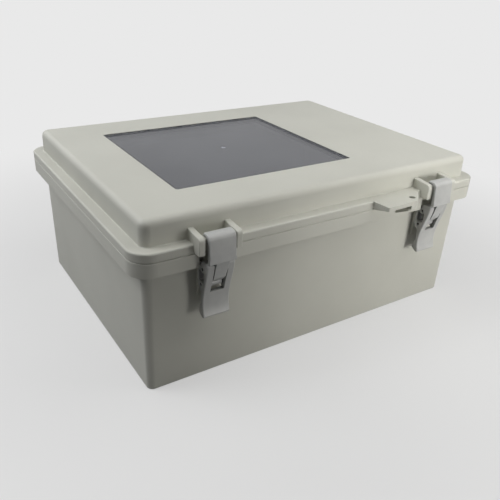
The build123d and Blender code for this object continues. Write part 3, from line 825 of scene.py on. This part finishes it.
class ENCLOSURE_OT_drive_screws(bpy.types.Operator):
    """Drives the zinc-plated pan-head screws that hold the window frame"""

    bl_idname = "enclosure.drive_screws"
    bl_label = "Drive Frame Screws"

    def execute(self, context):
        screw = context.scene.enclosure_screw
        # Zinc plate over cold-headed steel: bright bluish grey with a faint spun grain.
        zinc = worked_metal(
            "zinc_plated_steel", screw.metal, spacing=0.5 * MM, roughness=0.30, depth=0.01 * MM
        )
        sizes = (
            "Head Radius",
            "Head Height",
            "Shank Radius",
            "Shank Length",
            "Pitch",
            "Thread Width",
            "Recess Length",
            "Recess Width",
            "Recess Depth",
        )
        tree, given = new_tree("pan_head_screws", sizes)
        run = given["Shank Length"]
        core = add(
            tree,
            "ShaderNodeMath",
            {0: given["Shank Radius"], 1: given["Thread Width"]},
            operation="SUBTRACT",
        )
        shank = add(
            tree, "GeometryNodeMeshCylinder", {"Vertices": 20, "Radius": core, "Depth": run}
        )
        half = add(tree, "ShaderNodeMath", {0: run, 1: -0.5}, operation="MULTIPLY")
        middle = add(tree, "ShaderNodeCombineXYZ", {"Z": half})
        shank = add(tree, "GeometryNodeTransform", {"Geometry": shank, "Translation": middle})
        thread = wound_thread(tree, given, core, run, facets=16, drop=1.0)
        parts = [self.head(tree, given), shank, thread]
        whole = add(tree, "GeometryNodeJoinGeometry", {"Geometry": parts})
        set_out(tree, given, whole, rotation=(math.pi, 0.0, 0.0))
        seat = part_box("window_frame")[0].z
        spots = corners("window_frame_screws")
        low, high = spots[0]
        end_play = 0.4 * MM
        values = {
            "Head Radius": (high.x - low.x) / 2,
            "Head Height": seat - low.z,
            "Shank Radius": screw.shank,
            "Shank Length": high.z - seat - end_play,
            "Pitch": screw.pitch,
            "Thread Width": screw.thread,
            "Recess Length": screw.recess,
            "Recess Width": screw.recess_width,
            "Recess Depth": screw.recess_depth,
            "Material": zinc,
        }
        points = [((a.x + b.x) / 2, (a.y + b.y) / 2, seat) for a, b in spots]
        screws = grow("pan_head_screws", points, tree, values)
        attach(screws, "lid")
        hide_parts("window_frame_screws")
        return {"FINISHED"}

    def head(self, tree, given):
        # The head is a ball pressed flat: its lower half lies in the seat, its crown is cut level.
        ball = add(tree, "GeometryNodeMeshUVSphere", {"Segments": 32, "Rings": 24, "Radius": 1.0})
        spot = add(tree, "GeometryNodeInputPosition")
        parts = add(tree, "ShaderNodeSeparateXYZ", {"Vector": spot}).outputs
        crown = add(tree, "ShaderNodeClamp", {"Value": parts["Z"], "Min": 0.0, "Max": CROWN})
        flat = add(tree, "ShaderNodeCombineXYZ", {"X": parts["X"], "Y": parts["Y"], "Z": crown})
        rise = add(tree, "ShaderNodeMath", {0: given["Head Height"], 1: CROWN}, operation="DIVIDE")
        wide = given["Head Radius"]
        spread = add(tree, "ShaderNodeCombineXYZ", {"X": wide, "Y": wide, "Z": rise})
        sized = add(tree, "ShaderNodeVectorMath", {0: flat, 1: spread}, operation="MULTIPLY")
        head = add(tree, "GeometryNodeSetPosition", {"Geometry": ball, "Position": sized})
        head = add(
            tree, "GeometryNodeMergeByDistance", {"Geometry": head, "Distance": 0.01 * MM}
        )
        # Two bars, crossed and half sunk in the crown, cut the recess.
        deep = add(tree, "ShaderNodeMath", {0: given["Recess Depth"], 1: 2.0}, operation="MULTIPLY")
        top = add(tree, "ShaderNodeCombineXYZ", {"Z": given["Head Height"]})
        for across in (("Recess Length", "Recess Width"), ("Recess Width", "Recess Length")):
            size = add(
                tree,
                "ShaderNodeCombineXYZ",
                {"X": given[across[0]], "Y": given[across[1]], "Z": deep},
            )
            bar = add(tree, "GeometryNodeMeshCube", {"Size": size})
            bar = add(tree, "GeometryNodeTransform", {"Geometry": bar, "Translation": top})
            head = add(
                tree,
                "GeometryNodeMeshBoolean",
                {"Mesh 1": head, "Mesh 2": bar},
                operation="DIFFERENCE",
            )
        return head


# Bore of the inserts of each node, as a radius.
BORES = (("boss_inserts", 2.1 * MM), ("wall_mount_inserts", 2.5 * MM))


class ENCLOSURE_OT_press_inserts(bpy.types.Operator):
    """Presses the knurled and threaded brass inserts into the bosses of the base"""

    bl_idname = "enclosure.press_inserts"
    bl_label = "Press Inserts"

    def execute(self, context):
        insert = context.scene.enclosure_insert
        # Free-cutting brass turned on a lathe: yellow, with rings from the tool on its face.
        brass = worked_metal(
            "turned_brass", insert.metal, spacing=0.4 * MM, roughness=0.28, depth=0.01 * MM
        )
        sizes = ("Radius", "Bore", "Length", "Knurl Depth", "Pitch", "Thread Width")
        tree, given = new_tree("threaded_inserts", sizes, ["Knurls"])
        around = add(tree, "ShaderNodeMath", {0: given["Knurls"], 1: 2.0}, operation="MULTIPLY")
        body = add(
            tree,
            "GeometryNodeMeshCylinder",
            {"Vertices": around, "Radius": given["Radius"], "Depth": given["Length"]},
        )
        # Every second edge of the cylinder is pulled in, which leaves a straight knurl.
        index = add(tree, "GeometryNodeInputIndex")
        odd = add(tree, "ShaderNodeMath", {0: index, 1: 2.0}, operation="MODULO")
        pull = add(
            tree,
            "ShaderNodeMath",
            {0: given["Knurl Depth"], 1: given["Radius"]},
            operation="DIVIDE",
        )
        pull = add(tree, "ShaderNodeMath", {0: odd, 1: pull}, operation="MULTIPLY")
        keep = add(tree, "ShaderNodeMath", {0: 1.0, 1: pull}, operation="SUBTRACT")
        spread = add(tree, "ShaderNodeCombineXYZ", {"X": keep, "Y": keep, "Z": 1.0})
        spot = add(tree, "GeometryNodeInputPosition")
        moved = add(tree, "ShaderNodeVectorMath", {0: spot, 1: spread}, operation="MULTIPLY")
        body = add(tree, "GeometryNodeSetPosition", {"Geometry": body, "Position": moved})
        # The drill runs past both ends, and the thread stops short of them, by shares of the length.
        longer = add(tree, "ShaderNodeMath", {0: given["Length"], 1: 1.2}, operation="MULTIPLY")
        drill = add(
            tree,
            "GeometryNodeMeshCylinder",
            {"Vertices": 32, "Radius": given["Bore"], "Depth": longer},
        )
        body = add(
            tree,
            "GeometryNodeMeshBoolean",
            {"Mesh 1": body, "Mesh 2": drill},
            operation="DIFFERENCE",
        )
        wound = add(tree, "ShaderNodeMath", {0: given["Length"], 1: 0.9}, operation="MULTIPLY")
        thread = wound_thread(tree, given, given["Bore"], wound, facets=20, drop=0.5)
        whole = add(tree, "GeometryNodeJoinGeometry", {"Geometry": [body, thread]})
        set_out(tree, given, whole)
        for node, bore in BORES:
            spots = corners(node)
            low, high = spots[0]
            values = {
                "Radius": (high.x - low.x) / 2,
                "Bore": bore,
                "Length": high.z - low.z,
                "Knurls": insert.knurls,
                "Knurl Depth": insert.knurl_depth,
                "Pitch": insert.pitch,
                "Thread Width": insert.thread,
                "Material": brass,
            }
            points = [(a + b) / 2 for a, b in spots]
            inserts = grow("threaded_" + node, points, tree, values)
            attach(inserts, "base")
            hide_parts(node)
        return {"FINISHED"}


class ENCLOSURE_OT_paint_pins(bpy.types.Operator):
    """Gives the hinge and latch pins their ground steel"""

    bl_idname = "enclosure.paint_pins"
    bl_label = "Paint Pins"

    def execute(self, context):
        pin = context.scene.enclosure_pin
        # Centreless-ground stainless rod: rings run round the pin, so the pattern is tight along X.
        steel = worked_metal(
            "ground_stainless",
            pin.metal,
            spacing=pin.line,
            roughness=0.26,
            depth=0.006 * MM,
            along=(1, 12, 12),
        )
        for side in ("left", "right"):
            coat(steel, "hinge_pin_" + side, "lever_pin_" + side, "hook_pin_" + side)
        return {"FINISHED"}


def floor_height():
    """Height of the surface that the box stands on, a hair below it so that no faces coincide."""
    clearance = 0.02 * MM
    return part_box("base_shell")[0].z - clearance


def seen_rays(tree):
    """One for rays of the camera and for those that gloss or clear plastic passes on, else zero."""
    ray = add(tree, "ShaderNodeLightPath").outputs
    seen = add(
        tree,
        "ShaderNodeMath",
        {0: ray["Is Camera Ray"], 1: ray["Is Glossy Ray"]},
        operation="MAXIMUM",
    )
    return add(
        tree,
        "ShaderNodeMath",
        {0: seen, 1: ray["Is Transmission Ray"]},
        operation="MAXIMUM",
    )


class ENCLOSURE_OT_set_stage(bpy.types.Operator):
    """Sets the floor, the softboxes, the light from all round and the camera"""

    bl_idname = "enclosure.set_stage"
    bl_label = "Set Stage"

    def execute(self, context):
        stage = context.scene.enclosure_stage
        self.lay_floor(context, stage)
        self.light_room(context, stage)
        self.place_camera(context, stage)
        return {"FINISHED"}

    def lay_floor(self, context, stage):
        # Pale floor that the camera and reflections see; it throws less light back on the box.
        material, tree, place = new_material("pale_floor")
        far = add(tree, "ShaderNodeVectorMath", {0: place}, operation="LENGTH")
        fade = add(
            tree,
            "ShaderNodeMapRange",
            {
                "Value": far,
                "From Min": stage.fade_from,
                "From Max": stage.fade_to,
                "To Min": stage.glow,
                "To Max": 1.0,
            },
            interpolation_type="SMOOTHSTEP",
        )
        backdrop = rgba(stage.backdrop)
        lit = add(tree, "ShaderNodeBsdfDiffuse", {"Color": backdrop})
        glow = add(tree, "ShaderNodeEmission", {"Color": backdrop, "Strength": 1.0})
        shown = add(tree, "ShaderNodeMixShader", {0: fade, 1: lit, 2: glow})
        bounce = add(tree, "ShaderNodeBsdfDiffuse", {"Color": rgba(stage.bounce)})
        mixed = add(tree, "ShaderNodeMixShader", {0: seen_rays(tree), 1: bounce, 2: shown})
        add(tree, "ShaderNodeOutputMaterial", {"Surface": mixed})
        mesh = bpy.data.meshes.new("floor")
        side, low = stage.side, floor_height()
        points = [(-side, -side, low), (side, -side, low), (side, side, low), (-side, side, low)]
        mesh.from_pydata(points, [], [(0, 1, 2, 3)])
        mesh.materials.append(material)
        floor = bpy.data.objects.new("floor", mesh)
        context.scene.collection.objects.link(floor)

    def light_room(self, context, stage):
        world = bpy.data.worlds.new("room")
        world.use_nodes = True
        tree = world.node_tree
        tree.nodes.clear()
        # White light from all round, if any, reaches the box; camera and reflections see the backdrop.
        dim = add(tree, "ShaderNodeBackground", {"Color": (1, 1, 1, 1), "Strength": stage.ambient})
        pale = add(tree, "ShaderNodeBackground", {"Color": rgba(stage.backdrop), "Strength": 1.0})
        mixed = add(tree, "ShaderNodeMixShader", {0: seen_rays(tree), 1: dim, 2: pale})
        add(tree, "ShaderNodeOutputWorld", {"Surface": mixed})
        context.scene.world = world
        context.scene.view_settings.view_transform = "Standard"
        for name, place, target, width, height, watts, spread, warmth in SOFTBOXES:
            lamp = bpy.data.lights.new(name, "AREA")
            lamp.shape, lamp.size, lamp.size_y = "RECTANGLE", width, height
            lamp.energy, lamp.color, lamp.spread = watts, warmth, math.radians(spread)
            softbox = bpy.data.objects.new(name, lamp)
            softbox.location = place
            aim = Vector(target) - Vector(place)
            softbox.rotation_euler = aim.to_track_quat("-Z", "Y").to_euler()
            context.scene.collection.objects.link(softbox)

    def place_camera(self, context, stage):
        a, e, r = stage.azimuth, stage.elevation, stage.roll
        back = Vector((math.sin(a) * math.cos(e), -math.cos(a) * math.cos(e), math.sin(e)))
        right = Vector((math.cos(a), math.sin(a), 0))
        up = back.cross(right)
        across = right * math.cos(r) + up * math.sin(r)
        above = up * math.cos(r) - right * math.sin(r)
        lens = bpy.data.cameras.new("camera")
        lens.sensor_width, lens.lens = 36.0, stage.lens
        lens.shift_x = (PHOTO_SIDE / 2 - LENS_AXIS[0]) / PHOTO_SIDE
        lens.shift_y = (LENS_AXIS[1] - PHOTO_SIDE / 2) / PHOTO_SIDE
        lens.clip_start, lens.clip_end = 0.01, 20.0
        camera = bpy.data.objects.new("camera", lens)
        turned = Matrix((across, above, back)).transposed().to_4x4()
        camera.matrix_world = Matrix.Translation(stage.place) @ turned
        context.scene.collection.objects.link(camera)
        context.scene.camera = camera


STEPS = (
    ENCLOSURE_OT_paint_housing,
    ENCLOSURE_OT_paint_latches,
    ENCLOSURE_OT_fit_window,
    ENCLOSURE_OT_lay_seals,
    ENCLOSURE_OT_drive_screws,
    ENCLOSURE_OT_press_inserts,
    ENCLOSURE_OT_paint_pins,
    ENCLOSURE_OT_set_stage,
)

SETTINGS = {
    "enclosure_housing": HousingSettings,
    "enclosure_latch": LatchSettings,
    "enclosure_window": WindowSettings,
    "enclosure_seal": SealSettings,
    "enclosure_screw": ScrewSettings,
    "enclosure_insert": InsertSettings,
    "enclosure_pin": PinSettings,
    "enclosure_stage": StageSettings,
}


class ENCLOSURE_PT_finishes(bpy.types.Panel):
    """Sizes and colours of each group of pieces, with the step that makes it"""

    bl_label = "Enclosure"
    bl_idname = "ENCLOSURE_PT_finishes"
    bl_space_type = "VIEW_3D"
    bl_region_type = "UI"
    bl_category = "Enclosure"

    def draw(self, context):
        for step, group in zip(STEPS, SETTINGS):
            box = self.layout.box()
            settings = getattr(context.scene, group)
            for key in settings.__annotations__:
                box.prop(settings, key)
            box.operator(step.bl_idname)


def register():
    for group in SETTINGS.values():
        bpy.utils.register_class(group)
    for step in STEPS:
        bpy.utils.register_class(step)
    bpy.utils.register_class(ENCLOSURE_PT_finishes)
    for name, group in SETTINGS.items():
        setattr(bpy.types.Scene, name, PointerProperty(type=group))


def unregister():
    for name in SETTINGS:
        delattr(bpy.types.Scene, name)
    bpy.utils.unregister_class(ENCLOSURE_PT_finishes)
    for step in reversed(STEPS):
        bpy.utils.unregister_class(step)
    for group in reversed(SETTINGS.values()):
        bpy.utils.unregister_class(group)


def main():
    """Registers everything and runs the steps in order."""
    register()
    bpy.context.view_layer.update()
    bpy.ops.enclosure.paint_housing()
    bpy.ops.enclosure.paint_latches()
    bpy.ops.enclosure.fit_window()
    bpy.ops.enclosure.lay_seals()
    bpy.ops.enclosure.drive_screws()
    bpy.ops.enclosure.press_inserts()
    bpy.ops.enclosure.paint_pins()
    bpy.ops.enclosure.set_stage()


if __name__ == "__main__":
    main()
